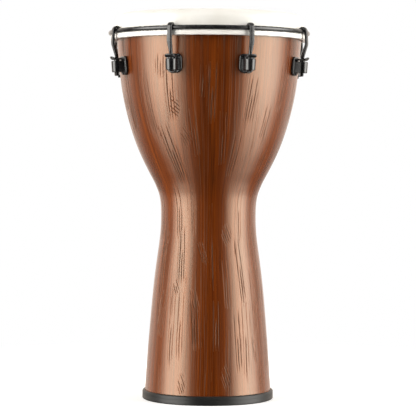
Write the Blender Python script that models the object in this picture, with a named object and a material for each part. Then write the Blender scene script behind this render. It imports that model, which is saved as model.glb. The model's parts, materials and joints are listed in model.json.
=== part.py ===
"""A djembe: a moulded goblet shell whose synthetic head is drawn down by eight hooks in bolted lugs.

Metres, +Z up. The origin is on the drum's axis, at the underside of its rubber foot.
Each lug, with its hook, nut, grommet and screws, hangs from an empty on its hook's axis.
"""

import math

import bmesh
import bpy
from mathutils import Matrix, Vector

# Fits
GAP = 0.0003               # between pieces that touch
SLIDE_CLEARANCE = 0.0004   # between a claw's tip and the head's collar
SEGMENTS = 48              # round the drum, with a vertex line through each lug
FINE_SEGMENTS = 12         # round a small bore

# Shell
PEDESTAL_HEIGHT = 0.290    # floor to waist
BOWL_HEIGHT = 0.3308       # waist to playing surface
FOOT_RADIUS = 0.1029       # shell's outside, carried down to the floor
WAIST_RADIUS = 0.0767
WALL = 0.008
BEARING_LIP = 0.0040       # flat top of the bearing edge, inwards from its crown
BEARING_DEPTH = 0.0100     # straight inner face of the thickened edge
BEARING_TAPER = 0.0240     # crown down to where the thickened edge meets the wall
# Shape of each half: share of its height from the waist, share of its change in radius, steepness.
PEDESTAL_SHAPE = ((0.276, 0.332, 1.306), (1.0, 1.0, 0.775))
BOWL_SHAPE = ((0.1726, 0.1163, 2.18), (0.3296, 0.4583, 1.96), (0.565, 0.795, 1.07),
              (0.882, 0.980, 0.38), (1.0, 1.0, 0.0))
PEDESTAL_STEPS = (4, 2)    # straight runs drawn in each stretch of the shape
BOWL_STEPS = (4, 2, 3, 3, 1)

# Head
HEAD_RADIUS = 0.1524       # outside of the collar, a 12 inch head
FILM = 0.0005
CORNER_RADIUS = 0.014      # over the bearing edge
CORNER_STEPS = 5
COLLAR_STAND_OFF = 0.0021  # collar's inside to the shell
SKIRT_IN_HOOP = 0.0029     # collar's lower end, inside the hoop's slot

# Flesh hoop
HOOP_HEIGHT = 0.0077
HOOP_OUTER_WALL = 0.0071   # slot to outside
HOOP_INNER_WALL = 0.0010
HOOP_FLOOR = 0.0014        # under the slot
HOOP_CHAMFER = 0.0010

# Tension ring
RING_ROD = 0.007           # diameter of the rod that it is rolled from
RING_ROD_SIDES = 8
RING_DROP = 0.030          # playing surface down to the rod's centre

# Hooks
LUG_COUNT = 8
FIRST_LUG = math.radians(-67.5)
ROD = 0.006                # M6 threaded end
BAR_WIDTH = 0.0075
BAR_THICKNESS = 0.0042
CLAW_TIP = 0.0028          # thickness of the claw's tip, between ring and collar
CLAW_REACH = math.radians(190)   # how far the claw goes round the ring
CLAW_STEPS = 8
BAR_DRIFT = 0.0010         # the bar leans out this much by its upper bend
UPPER_BEND = 0.0367        # above the lug's centre
LOWER_BEND = 0.0177
BEND_CUT = 0.0025          # length of each bend, either side of its corner
ROD_BELOW = 0.0153         # lug's centre down to the rod's end
HOOK_TILT = math.radians(2.4)    # rod leans out at the top

# Lugs
LUG_DROP = 0.087           # playing surface down to the barrel's middle
ROD_STAND_OFF = 0.0142     # shell to rod axis
PLATE_WIDTH = 0.0255
PLATE_ABOVE = 0.0172       # barrel's middle up to the plate's top
PLATE_BELOW = 0.0120
PLATE_THICKNESS = 0.004
PLATE_TOP_CORNER = 0.006
PLATE_BOTTOM_CORNER = 0.0085
PLATE_BEVEL = 0.0012
BARREL_WALL = 0.0016       # round the socket's recess, at the lower end
BARREL_DRAFT = 0.0006      # the casting is this much wider in radius at its upper end
BARREL_ABOVE = 0.0093
BARREL_BELOW = 0.0094
BARREL_BEVEL = 0.0010
RECESS_ROOF = 0.0032       # barrel's middle up to the face that the nut pulls on
COUNTERBORE_FLOOR = 0.0058
BOSS_RADIUS = 0.0043       # round each screw's thread
BOSS_HEIGHT = 0.0026

# Nuts
NUT_FLATS = 0.010
NUT_HEIGHT = 0.0055
SOCKET_ROOM = 0.0010       # thin wall of the socket that turns the nut

# Grommets
SLEEVE_WALL = 0.0011
FLANGE_REACH = 0.0102      # rod axis out to the lip
FLANGE_HALF_WIDTH = 0.0088
FLANGE_BACK = 0.0050       # rod axis back to the side that faces the plate
FLANGE_SQUARENESS = 3.0    # 2 is an ellipse in plan, and more is squarer
FLANGE_THICKNESS = 0.0036
FLANGE_TILT = math.radians(22)   # its outer part turns up

# Lug screws
SCREW = 0.005              # M5
SCREW_SPACING = (0.0112, -0.0076)   # above and below the barrel's middle
SCREW_IN_LUG = 0.0050
SCREW_TIP_ROOM = 0.0006
SHELL_HOLE_CLEARANCE = 0.0005
WASHER_RADIUS = 0.0065
WASHER_THICKNESS = 0.0012
SCREW_HEAD_RADIUS = 0.0046
SCREW_HEAD_HEIGHT = 0.0026
SCREW_SIDES = 8

# Foot
FOOT_OUTSIDE = 0.106
FOOT_BASE = 0.004          # rubber under the shell's edge
FOOT_TOP = 0.0148
FOOT_LIP_TOP = 0.009       # inner side of its channel
FOOT_INNER_WALL = 0.003
FOOT_ROUND = 0.0018

# Places that follow from these
HEAD_TOP = PEDESTAL_HEIGHT + BOWL_HEIGHT
SHELL_TOP = HEAD_TOP - FILM - GAP
SHELL_BOTTOM = FOOT_BASE + GAP
RIM_RADIUS = HEAD_RADIUS - FILM - COLLAR_STAND_OFF
CROWN_RADIUS = HEAD_RADIUS - CORNER_RADIUS
BEARING_RADIUS = RIM_RADIUS - CROWN_RADIUS
LUG_HEIGHT = HEAD_TOP - LUG_DROP
LUG_BAND = (LUG_HEIGHT - PLATE_BELOW - 0.003, LUG_HEIGHT + PLATE_ABOVE + 0.003)
RING_HEIGHT = HEAD_TOP - RING_DROP
RING_RADIUS = HEAD_RADIUS + SLIDE_CLEARANCE + CLAW_TIP + GAP + RING_ROD / 2
HOOP_TOP = RING_HEIGHT - RING_ROD / 2 - GAP
ROD_HOLE = ROD / 2 + GAP
NUT_CORNER = NUT_FLATS / 2 / math.cos(math.pi / 6)
RECESS_RADIUS = NUT_CORNER + SOCKET_ROOM
BARREL_RADIUS = RECESS_RADIUS + BARREL_WALL
SLEEVE_RADIUS = ROD_HOLE + SLEEVE_WALL


# The shell's outline

def shell_knots():
    """(height, radius, slope) where the stretches of the outside meet, from floor to rim."""
    rim = SHELL_TOP - BEARING_RADIUS
    knots = [(PEDESTAL_HEIGHT, WAIST_RADIUS, 0.0)]
    for shape, end, radius in (
        (PEDESTAL_SHAPE, 0.0, FOOT_RADIUS),
        (BOWL_SHAPE, rim, RIM_RADIUS),
    ):
        height, change = end - PEDESTAL_HEIGHT, radius - WAIST_RADIUS
        knots += [(PEDESTAL_HEIGHT + up * height, WAIST_RADIUS + out * change, steep * change / height)
                  for up, out, steep in shape]
    return sorted(knots)


KNOTS = shell_knots()


def smooth_radius(z):
    """Outer radius of the shell at a height: a cubic through the knots, with their slopes."""
    index = 0
    while index < len(KNOTS) - 2 and z > KNOTS[index + 1][0]:
        index += 1
    (z0, r0, s0), (z1, r1, s1) = KNOTS[index:index + 2]
    t, span = (z - z0) / (z1 - z0), z1 - z0
    return ((1 + 2 * t) * (1 - t) ** 2 * r0 + t * (1 - t) ** 2 * span * s0
            + t * t * (3 - 2 * t) * r1 + t * t * (t - 1) * span * s1)


def outline_heights():
    """Heights of the outline's points. One straight run lies behind the lugs."""
    steps = PEDESTAL_STEPS[::-1] + BOWL_STEPS
    heights = [SHELL_BOTTOM, KNOTS[-1][0]]
    for (low, _, _), (high, _, _), count in zip(KNOTS, KNOTS[1:], steps):
        heights += [low + (high - low) * step / count for step in range(count)]
    near = 0.004
    return sorted([z for z in heights if z >= SHELL_BOTTOM
                   and not LUG_BAND[0] - near < z < LUG_BAND[1] + near] + list(LUG_BAND))


HEIGHTS = outline_heights()


def outer_radius(z):
    """Outer radius of the shell as drawn, on the straight runs of its outline."""
    low, high = next(pair for pair in zip(HEIGHTS, HEIGHTS[1:]) if z <= pair[1])
    share = (z - low) / (high - low)
    return smooth_radius(low) * (1 - share) + smooth_radius(high) * share


def inner_radius(z):
    step = 0.001
    slope = (smooth_radius(z + step) - smooth_radius(z - step)) / (2 * step)
    return smooth_radius(z) - WALL * math.hypot(1, slope)


LUG_SLOPE = (outer_radius(LUG_BAND[1]) - outer_radius(LUG_BAND[0])) / (LUG_BAND[1] - LUG_BAND[0])
LUG_WALL_RADIUS = outer_radius(LUG_HEIGHT)
ROD_RADIUS_AT_LUG = LUG_WALL_RADIUS + ROD_STAND_OFF


# Modelling helpers

def arc(centre, radius, start, end, steps):
    """Points round a centre, by angles in radians."""
    angles = [start + (end - start) * step / steps for step in range(steps + 1)]
    return [(centre[0] + radius * math.cos(a), centre[1] + radius * math.sin(a)) for a in angles]


def finished_mesh(bm, name):
    bmesh.ops.remove_doubles(bm, verts=bm.verts, dist=1e-6)
    bmesh.ops.recalc_face_normals(bm, faces=bm.faces)
    mesh = bpy.data.meshes.new(name)
    bm.to_mesh(mesh)
    bm.free()
    mesh.shade_smooth()
    mesh.set_sharp_from_angle(angle=math.radians(35))
    return mesh


def turned(name, outline, steps=SEGMENTS):
    """A closed (radius, height) outline turned about Z. Points on the axis close the body."""
    bm = bmesh.new()
    points = [bm.verts.new((radius, 0, z)) for radius, z in outline]
    pairs = zip(points, points[1:] + points[:1])
    edges = [bm.edges.new(pair) for pair in pairs if any(v.co.x > 1e-9 for v in pair)]
    bmesh.ops.spin(bm, geom=points + edges, cent=(0, 0, 0), axis=(0, 0, 1),
                   angle=2 * math.pi, steps=steps, use_merge=True)
    return finished_mesh(bm, name)


def lofted(name, loops, closed=False):
    """Skin through loops of equally many points. The ends are capped, or joined to each other."""
    bm = bmesh.new()
    rings = [[bm.verts.new(point) for point in loop] for loop in loops]
    following = rings[1:] + rings[:1] if closed else rings[1:]
    for ring, upper in zip(rings, following):
        for i, vert in enumerate(ring):
            j = (i + 1) % len(ring)
            bm.faces.new((vert, ring[j], upper[j], upper[i]))
    if not closed:
        bm.faces.new(rings[0])
        bm.faces.new(rings[-1])
    return finished_mesh(bm, name)


def cutter(name, outline, sides, matrix):
    """A turned cutter. It is turned a quarter side, so that none of its edges meets a vertex line."""
    mesh = turned(name, outline, sides)
    mesh.transform(matrix @ Matrix.Rotation(math.pi / sides / 2, 4, "Z"))
    return mesh


def placed(name, mesh, material, parent=None, matrix=None):
    obj = bpy.data.objects.new(name, mesh)
    bpy.context.scene.collection.objects.link(obj)
    if material is not None and not mesh.materials:
        mesh.materials.append(material)
    obj.parent = parent
    obj.matrix_local = matrix if matrix is not None else Matrix()
    return obj


def carved(name, base, joined=(), cut=()):
    """One mesh from a base, what is joined to it and what is cut from it."""
    helper = placed(name + "_blank", base, None)
    tools = []
    for operation, meshes in (("UNION", joined), ("DIFFERENCE", cut)):
        for mesh in meshes:
            tool = placed(mesh.name + "_tool", mesh, None)
            tool.hide_render = True
            tool.display_type = "WIRE"
            modifier = helper.modifiers.new(operation.lower(), "BOOLEAN")
            modifier.operation = operation
            modifier.solver = "EXACT"
            modifier.object = tool
            tools.append(tool)
    bpy.context.view_layer.update()
    evaluated = helper.evaluated_get(bpy.context.evaluated_depsgraph_get())
    mesh = bpy.data.meshes.new_from_object(evaluated)
    mesh.name = name
    mesh.materials.clear()
    for obj in [helper] + tools:
        bpy.data.objects.remove(obj)
    bm = bmesh.new()
    bm.from_mesh(mesh)
    bmesh.ops.dissolve_degenerate(bm, dist=1e-6, edges=bm.edges)
    bm.to_mesh(mesh)
    bm.free()
    mesh.shade_smooth()
    mesh.set_sharp_from_angle(angle=math.radians(35))
    return mesh


def principled(name, colour, roughness, metallic=0.0):
    material = bpy.data.materials.new(name)
    material.use_nodes = True
    shader = material.node_tree.nodes["Principled BSDF"]
    shader.inputs["Base Color"].default_value = (*colour, 1)
    shader.inputs["Roughness"].default_value = roughness
    shader.inputs["Metallic"].default_value = metallic
    return material


# Pieces on the drum's axis

def shell_mesh():
    """Pedestal, waist and bowl in one wall, with a thickened bearing edge and the screws' holes."""
    outside = [(smooth_radius(z), z) for z in HEIGHTS]
    crown = (CROWN_RADIUS, SHELL_TOP - BEARING_RADIUS)
    edge = arc(crown, BEARING_RADIUS, 0, math.pi / 2, CORNER_STEPS)[1:]
    lip = CROWN_RADIUS - BEARING_LIP
    edge += [(lip, SHELL_TOP), (lip, SHELL_TOP - BEARING_DEPTH)]
    inside = [(inner_radius(z), z) for z in reversed(HEIGHTS) if z < SHELL_TOP - BEARING_TAPER]
    holes = [hole_mesh(index, drop) for index in range(LUG_COUNT) for drop in SCREW_SPACING]
    return carved("shell", turned("shell_blank", outside + edge + inside), cut=holes)


def hole_mesh(index, drop):
    """A cutter through the wall, where one lug screw passes."""
    radius = SCREW / 2 + SHELL_HOLE_CLEARANCE
    reach = WALL * 2
    return cutter("hole", [(0, -reach), (radius, -reach), (radius, reach), (0, reach)], SCREW_SIDES,
                  Matrix.Rotation(azimuth(index), 4, "Z") @ screw_frame(drop))


def foot_ring_mesh():
    """A rubber channel that the shell's lower edge stands in."""
    slot_outside = [(outer_radius(SHELL_BOTTOM) + GAP, FOOT_BASE), (outer_radius(FOOT_TOP) + GAP, FOOT_TOP)]
    slot_inside = [(inner_radius(FOOT_LIP_TOP) - GAP, FOOT_LIP_TOP),
                   (inner_radius(FOOT_LIP_TOP) - GAP, FOOT_BASE)]
    inside = slot_inside[0][0] - FOOT_INNER_WALL
    outline = [(inside, 0), (FOOT_OUTSIDE - FOOT_ROUND, 0), (FOOT_OUTSIDE, FOOT_ROUND),
               (FOOT_OUTSIDE, FOOT_TOP - FOOT_ROUND), (FOOT_OUTSIDE - FOOT_ROUND, FOOT_TOP),
               slot_outside[1], slot_outside[0], slot_inside[1], slot_inside[0], (inside, FOOT_LIP_TOP)]
    return turned("foot_ring", outline)


def head_film_mesh():
    """Flat playing surface, rounded corner and collar, ending in a skirt inside the flesh hoop."""
    centre = (CROWN_RADIUS, HEAD_TOP - CORNER_RADIUS)
    skirt = HOOP_TOP - SKIRT_IN_HOOP
    outside = arc(centre, CORNER_RADIUS, math.pi / 2, 0, CORNER_STEPS) + [(HEAD_RADIUS, skirt)]
    inside = [(HEAD_RADIUS - FILM, skirt)] + arc(centre, CORNER_RADIUS - FILM, 0, math.pi / 2, CORNER_STEPS)
    return turned("head_film", [(0, HEAD_TOP)] + outside + inside + [(0, HEAD_TOP - FILM)])


def flesh_hoop_mesh():
    """A round channel that holds the film's skirt in its slot and carries the tension ring."""
    slot_room = 0.0005
    slot_outer, slot_inner = HEAD_RADIUS + slot_room, HEAD_RADIUS - FILM - slot_room
    outside, inside = slot_outer + HOOP_OUTER_WALL, slot_inner - HOOP_INNER_WALL
    bottom = HOOP_TOP - HOOP_HEIGHT
    floor = bottom + HOOP_FLOOR
    outline = [(inside, bottom), (outside - HOOP_CHAMFER, bottom), (outside, bottom + HOOP_CHAMFER),
               (outside, HOOP_TOP - HOOP_CHAMFER), (outside - HOOP_CHAMFER, HOOP_TOP),
               (slot_outer, HOOP_TOP), (slot_outer, floor), (slot_inner, floor), (slot_inner, HOOP_TOP),
               (inside, HOOP_TOP)]
    return turned("flesh_hoop", outline)


def tension_ring_mesh():
    """A round rod, whose straight runs are each centred on a claw or between two."""
    turn = math.pi / RING_ROD_SIDES
    rod = arc((RING_RADIUS, RING_HEIGHT), RING_ROD / 2, turn, turn + 2 * math.pi, RING_ROD_SIDES)
    half_run = math.pi / SEGMENTS
    mesh = turned("tension_ring", [(radius / math.cos(half_run), z) for radius, z in rod[:-1]])
    mesh.transform(Matrix.Rotation(half_run, 4, "Z"))
    return mesh


# Pieces at each lug, in a frame on the rod's axis at the barrel's middle: X outwards, Z up

def azimuth(index):
    return FIRST_LUG + index * 2 * math.pi / LUG_COUNT


TILTED = Matrix.Rotation(HOOK_TILT, 4, "Y")   # Z along the rod


def screw_frame(drop):
    """Frame of a lug screw in the drum's frame, for a lug at azimuth 0: Z outwards through the wall."""
    z = LUG_HEIGHT + drop
    lean = Matrix.Rotation(math.pi / 2 + math.atan(LUG_SLOPE), 4, "Y")
    return Matrix.Translation((LUG_WALL_RADIUS + drop * LUG_SLOPE, 0, z)) @ lean


TO_LUG = Matrix.Translation((-ROD_RADIUS_AT_LUG, 0, -LUG_HEIGHT))


def plate_outline(inset=0.0):
    """(y, z) round the plate, from its top middle by way of its bottom middle."""
    half = PLATE_WIDTH / 2
    top, bottom = PLATE_ABOVE, -PLATE_BELOW
    r, q = PLATE_TOP_CORNER, PLATE_BOTTOM_CORNER
    right = arc((half - r, top - r), r - inset, math.pi / 2, 0, 2)
    right += arc((half - q, bottom + q), q - inset, 0, -math.pi / 2, 3)
    left = [(-y, z) for y, z in reversed(right)]
    return [(0, top - inset)] + right + [(0, bottom + inset)] + left


def plate_mesh():
    """Flat in front. Its back is two planes that lie on the shell's facets."""
    def back(y, z):
        return -ROD_STAND_OFF + GAP + z * LUG_SLOPE - abs(y) * math.tan(math.pi / SEGMENTS)

    def front(z, depth):
        return -ROD_STAND_OFF + GAP + z * LUG_SLOPE + depth

    bm = bmesh.new()
    outline, narrow = plate_outline(), plate_outline(PLATE_BEVEL)
    rings = [[bm.verts.new((back(y, z), y, z)) for y, z in outline],
             [bm.verts.new((front(z, PLATE_THICKNESS - PLATE_BEVEL), y, z)) for y, z in outline],
             [bm.verts.new((front(z, PLATE_THICKNESS), y, z)) for y, z in narrow]]
    count = len(outline)
    for ring, upper in zip(rings, rings[1:]):
        for i in range(count):
            j = (i + 1) % count
            bm.faces.new((ring[i], ring[j], upper[j], upper[i]))
    middle = count // 2
    bm.faces.new(rings[0][:middle + 1])
    bm.faces.new(rings[0][middle:] + rings[0][:1])
    bm.faces.new(rings[2])
    return finished_mesh(bm, "plate")


def barrel_mesh():
    """A half round about the rod, wider at the top, with straight sides back into the plate."""
    inside_plate = -ROD_STAND_OFF + PLATE_THICKNESS * 0.45

    def loop(z, inset):
        drafted = BARREL_DRAFT * (z + BARREL_BELOW) / (BARREL_ABOVE + BARREL_BELOW)
        radius = BARREL_RADIUS + drafted - inset
        bow = arc((0, 0), radius, -math.pi / 2, math.pi / 2, 8)
        return [(x, y, z) for x, y in [(inside_plate, -radius)] + bow + [(inside_plate, radius)]]

    mesh = lofted("barrel", [
        loop(-BARREL_BELOW, BARREL_BEVEL), loop(-BARREL_BELOW + BARREL_BEVEL, 0),
        loop(BARREL_ABOVE - BARREL_BEVEL, 0), loop(BARREL_ABOVE, BARREL_BEVEL)])
    mesh.transform(TILTED)
    return mesh


def boss_mesh(drop):
    """Extra metal on the plate round one screw's thread."""
    start, end = PLATE_THICKNESS / 2, PLATE_THICKNESS + BOSS_HEIGHT
    mesh = turned("boss", [(0, start), (BOSS_RADIUS, start), (BOSS_RADIUS, end - PLATE_BEVEL),
                           (BOSS_RADIUS - PLATE_BEVEL, end), (0, end)], FINE_SEGMENTS)
    mesh.transform(TO_LUG @ screw_frame(drop))
    return mesh


def bore_mesh():
    """Seat for the grommet, hole for the rod and recess for the nut and its socket, on one axis."""
    far = 2 * PLATE_ABOVE
    outline = [(0, -far), (RECESS_RADIUS, -far), (RECESS_RADIUS, RECESS_ROOF), (ROD_HOLE + GAP, RECESS_ROOF),
               (ROD_HOLE + GAP, COUNTERBORE_FLOOR), (SLEEVE_RADIUS + GAP, COUNTERBORE_FLOOR),
               (SLEEVE_RADIUS + GAP, far), (0, far)]
    return cutter("bore", outline, FINE_SEGMENTS, TILTED)


def thread_mesh(drop):
    """A cutter for one blind screw hole in the lug's back."""
    depth = GAP + SCREW_IN_LUG + SCREW_TIP_ROOM
    radius = SCREW / 2 + GAP
    behind = -PLATE_THICKNESS
    return cutter("thread", [(0, behind), (radius, behind), (radius, depth), (0, depth)], SCREW_SIDES,
                  TO_LUG @ screw_frame(drop))


def lug_mesh():
    bosses = [boss_mesh(drop) for drop in SCREW_SPACING]
    threads = [thread_mesh(drop) for drop in SCREW_SPACING]
    return carved("lug", plate_mesh(), joined=[barrel_mesh()] + bosses, cut=[bore_mesh()] + threads)


def nut_mesh():
    """Hex nut against the recess's roof."""
    top = RECESS_ROOF - GAP

    def loop(z, flats_wide):
        points = []
        for step in range(FINE_SEGMENTS):
            angle = step * 2 * math.pi / FINE_SEGMENTS
            hexagon = NUT_CORNER if step % 2 == 0 else NUT_FLATS / 2
            radius = hexagon if flats_wide else ROD_HOLE
            points.append((radius * math.cos(angle), radius * math.sin(angle), z))
        return points

    bottom = top - NUT_HEIGHT
    return lofted("nut", [loop(bottom, True), loop(top, True), loop(top, False), loop(bottom, False)], True)


def flange_edge(angle):
    """Rod axis to the flange's edge, in a direction: square-shouldered in front and flat behind."""
    forward, sideways = math.cos(angle), math.sin(angle)
    n = FLANGE_SQUARENESS
    reach = ((abs(forward) / FLANGE_REACH) ** n + (abs(sideways) / FLANGE_HALF_WIDTH) ** n) ** (-1 / n)
    return reach if forward > -1e-6 else min(reach, -FLANGE_BACK / forward)


def grommet_mesh():
    """Bush in the barrel's top hole, under a flange whose outer part turns up."""
    seat = BARREL_ABOVE + GAP
    foot = COUNTERBORE_FLOOR + GAP

    def loop(z, radius=None):
        points = []
        for step in range(FINE_SEGMENTS):
            angle = step * 2 * math.pi / FINE_SEGMENTS
            reach = flange_edge(angle) if radius is None else radius
            x = reach * math.cos(angle)
            rise = max(0.0, x - SLEEVE_RADIUS) * math.tan(FLANGE_TILT)
            points.append((x, reach * math.sin(angle), z + rise))
        return points

    return lofted("grommet", [
        loop(foot, ROD_HOLE), loop(foot, SLEEVE_RADIUS), loop(seat, SLEEVE_RADIUS), loop(seat),
        loop(seat + FLANGE_THICKNESS), loop(seat + FLANGE_THICKNESS, ROD_HOLE)], True)


def bar_section(centre, along, width, thickness):
    """Eight points of a rounded bar's section, across a direction in the XZ plane."""
    across = Vector((along.z, 0, -along.x))
    w, t = width / 2, thickness / 2
    cut = thickness * (1 - math.sqrt(0.5))
    corners = [(w, t - cut), (w - cut, t), (cut - w, t), (-w, t - cut),
               (-w, cut - t), (cut - w, -t), (w - cut, -t), (w, cut - t)]
    return [centre + Vector((0, y, 0)) + across * out for y, out in corners]


def hook_path():
    """(point, width, thickness) along the hook's middle, from the claw's tip to the rod's end."""
    ring = Vector((RING_RADIUS, 0, RING_HEIGHT))
    path = []
    for step in range(CLAW_STEPS + 1):
        share = step / CLAW_STEPS
        angle = CLAW_REACH * (1 - share)
        thickness = CLAW_TIP + (BAR_THICKNESS - CLAW_TIP) * min(1.0, 2 * share)
        reach = RING_ROD / 2 + GAP + thickness / 2
        path.append((ring + Vector((math.cos(angle), 0, math.sin(angle))) * reach, BAR_WIDTH, thickness))
    lean = math.tan(HOOK_TILT)
    upper = Vector((path[-1][0].x + BAR_DRIFT, 0, LUG_HEIGHT + UPPER_BEND))
    lower = Vector((ROD_RADIUS_AT_LUG + LOWER_BEND * lean, 0, LUG_HEIGHT + LOWER_BEND))
    end = Vector((ROD_RADIUS_AT_LUG - ROD_BELOW * lean, 0, LUG_HEIGHT - ROD_BELOW))
    round_bar = ROD * math.cos(math.pi / 8)
    half_way = (BAR_WIDTH + round_bar) / 2, (BAR_THICKNESS + round_bar) / 2
    flat = BAR_WIDTH, BAR_THICKNESS
    path.append((upper + (path[-1][0] - upper).normalized() * BEND_CUT, *flat))
    path.append((upper + (lower - upper).normalized() * BEND_CUT, *flat))
    path.append((lower + (upper - lower).normalized() * BEND_CUT, *half_way))
    path.append((lower + (end - lower).normalized() * BEND_CUT / 2, round_bar, round_bar))
    path.append((end, round_bar, round_bar))
    return path


def hook_mesh():
    path = hook_path()
    points = [point for point, _, _ in path]
    loops = []
    for i, (point, width, thickness) in enumerate(path):
        along = (points[min(i + 1, len(points) - 1)] - points[max(i - 1, 0)]).normalized()
        loops.append(bar_section(point, along, width, thickness))
    mesh = lofted("hook", loops)
    mesh.transform(TILTED.inverted() @ TO_LUG)
    return mesh


def screw_mesh():
    """Washer-head screw, from inside the shell into the lug."""
    seat = -WALL - WASHER_RADIUS * math.tan(math.pi / SEGMENTS) - GAP
    under_head = seat - WASHER_THICKNESS
    crown = under_head - SCREW_HEAD_HEIGHT
    tip = GAP + SCREW_IN_LUG
    outline = [(0, crown), (SCREW_HEAD_RADIUS * 0.7, crown), (SCREW_HEAD_RADIUS, under_head),
               (WASHER_RADIUS, under_head), (WASHER_RADIUS, seat), (SCREW / 2, seat), (SCREW / 2, tip), (0, tip)]
    return turned("lug_screw", outline, SCREW_SIDES)


# The drum

def build_lugs(steel, black, rubber, zinc):
    """Eight sets of lug, grommet, hook, nut and two screws, each under an empty on its rod."""
    lug, nut, grommet, hook, screw = lug_mesh(), nut_mesh(), grommet_mesh(), hook_mesh(), screw_mesh()
    for index in range(LUG_COUNT):
        number = index + 1
        station = bpy.data.objects.new(f"station_{number}", None)
        bpy.context.scene.collection.objects.link(station)
        turn = Matrix.Rotation(azimuth(index), 4, "Z")
        station.matrix_world = turn @ Matrix.Translation((ROD_RADIUS_AT_LUG, 0, LUG_HEIGHT))
        placed(f"lug_{number}", lug, black, station)
        placed(f"lug_grommet_{number}", grommet, rubber, station, TILTED)
        placed(f"tuning_hook_{number}", hook, black, station, TILTED)
        placed(f"tuning_nut_{number}", nut, steel, station, TILTED)
        for place, drop in zip(("upper", "lower"), SCREW_SPACING):
            placed(f"lug_screw_{place}_{number}", screw, zinc, station, TO_LUG @ screw_frame(drop))


def build():
    for obj in list(bpy.data.objects):
        bpy.data.objects.remove(obj)
    wood = principled("stained_shell", (0.22, 0.07, 0.02), 0.45)
    film = principled("white_film", (0.85, 0.84, 0.80), 0.35)
    hoop = principled("white_hoop", (0.88, 0.87, 0.84), 0.25)
    black = principled("black_steel", (0.012, 0.012, 0.013), 0.35, 0.6)
    rubber = principled("black_rubber", (0.015, 0.015, 0.016), 0.7)
    bush = principled("black_nylon", (0.02, 0.02, 0.022), 0.55)
    steel = principled("bright_steel", (0.55, 0.55, 0.53), 0.3, 1.0)
    zinc = principled("zinc_plate", (0.48, 0.47, 0.44), 0.4, 1.0)
    placed("shell", shell_mesh(), wood)
    placed("foot_ring", foot_ring_mesh(), rubber)
    placed("head_film", head_film_mesh(), film)
    placed("flesh_hoop", flesh_hoop_mesh(), hoop)
    placed("tension_ring", tension_ring_mesh(), black)
    build_lugs(steel, black, bush, zinc)


build()
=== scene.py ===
"""The looks of a djembe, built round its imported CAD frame.

Every piece is rebuilt at full detail where the frame has it: shell with a weathered plank grain, head
film, flesh hoop, tension ring, rubber foot, and at each of eight stations a lug with its grommet, hook,
nut and two screws. Metres, +Z up, with the origin on the drum's axis under its foot.
"""

import json
import math
import random

import bmesh
import bpy
import numpy as np
from mathutils import Matrix, Vector, noise


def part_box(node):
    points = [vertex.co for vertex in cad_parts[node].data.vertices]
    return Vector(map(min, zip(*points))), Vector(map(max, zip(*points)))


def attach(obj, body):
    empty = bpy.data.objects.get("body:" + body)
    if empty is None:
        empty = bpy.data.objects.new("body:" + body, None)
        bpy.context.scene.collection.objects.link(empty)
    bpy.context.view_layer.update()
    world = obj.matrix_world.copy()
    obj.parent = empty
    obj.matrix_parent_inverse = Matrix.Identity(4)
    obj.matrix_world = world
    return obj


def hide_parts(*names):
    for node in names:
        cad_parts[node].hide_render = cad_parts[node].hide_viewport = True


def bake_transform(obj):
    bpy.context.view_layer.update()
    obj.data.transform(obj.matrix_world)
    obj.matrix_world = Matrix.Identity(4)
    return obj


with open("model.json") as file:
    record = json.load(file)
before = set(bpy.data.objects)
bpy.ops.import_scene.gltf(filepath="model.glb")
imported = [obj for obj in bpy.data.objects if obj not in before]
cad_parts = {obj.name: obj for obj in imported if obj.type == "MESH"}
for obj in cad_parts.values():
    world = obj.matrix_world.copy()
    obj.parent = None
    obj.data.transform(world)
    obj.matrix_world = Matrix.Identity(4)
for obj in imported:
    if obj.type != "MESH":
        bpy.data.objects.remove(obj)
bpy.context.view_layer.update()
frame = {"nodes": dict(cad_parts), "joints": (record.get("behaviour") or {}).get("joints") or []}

MM = 0.001
GAP = 0.3 * MM
FULL_TURN = 2 * math.pi

# Head, hoop and ring
HEAD_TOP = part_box("head_film")[1].z
HEAD_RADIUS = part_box("head_film")[1].x
FILM = 0.5 * MM
CORNER_RADIUS = 14 * MM
SKIRT_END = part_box("head_film")[0].z
HOOP_LOW, HOOP_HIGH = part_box("flesh_hoop")[0].z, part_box("flesh_hoop")[1].z
HOOP_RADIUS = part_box("flesh_hoop")[1].x
SLOT_ROOM = 0.5 * MM
RING_ROD = 7 * MM
RING_HEIGHT = (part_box("tension_ring")[0].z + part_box("tension_ring")[1].z) / 2
RING_RADIUS = 159.4 * MM

# Stations, each on its hook's tilted axis at the middle of the lug's barrel
STATIONS = [joint for joint in frame["joints"] if joint["name"].startswith("nut_turn_")]
FIRST = STATIONS[0]
ROD_RADIUS = math.hypot(*FIRST["pos_m"][:2])
LUG_HEIGHT = FIRST["pos_m"][2]
TILT = math.acos(FIRST["axis"][2])
LUG_SLOPE = 0.0996           # how far the shell's wall leans out for each metre up, at a lug
STAND_OFF = 14.2 * MM        # from a rod to the wall behind it
ROD = 6 * MM
PITCH = 1 * MM
ROD_START = 13.9 * MM        # where a hook's thread starts, over the lug's middle
ROD_ENDS = (11.2, 13.9, 12.2, 11.8, 12.4, 11.7, 13.7, 11.0)   # mm below the lug's middle
NUT_SEAT = 3.2 * MM          # ceiling of the recess that holds the nut
BUSH_SEAT = 5.8 * MM         # ledge under the grommet's sleeve
SCREW_RISES = (11.2 * MM, -7.6 * MM)   # over and under the lug's middle

# Shell and foot
FOOT_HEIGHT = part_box("foot_ring")[1].z
FOOT_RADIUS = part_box("foot_ring")[1].x
SHELL_WALL = 8 * MM
SHELL_SIDES = 400
SHELL_ROW = 3.2 * MM         # between the rows of points on its outside

# (rise, inset) of the rows of a rounded edge of radius 1, from its side to its flat
EDGE_ROWS = [(1 - math.sin(k * math.pi / 8), 1 - math.cos(k * math.pi / 8)) for k in range(5)]


# Meshes

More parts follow.
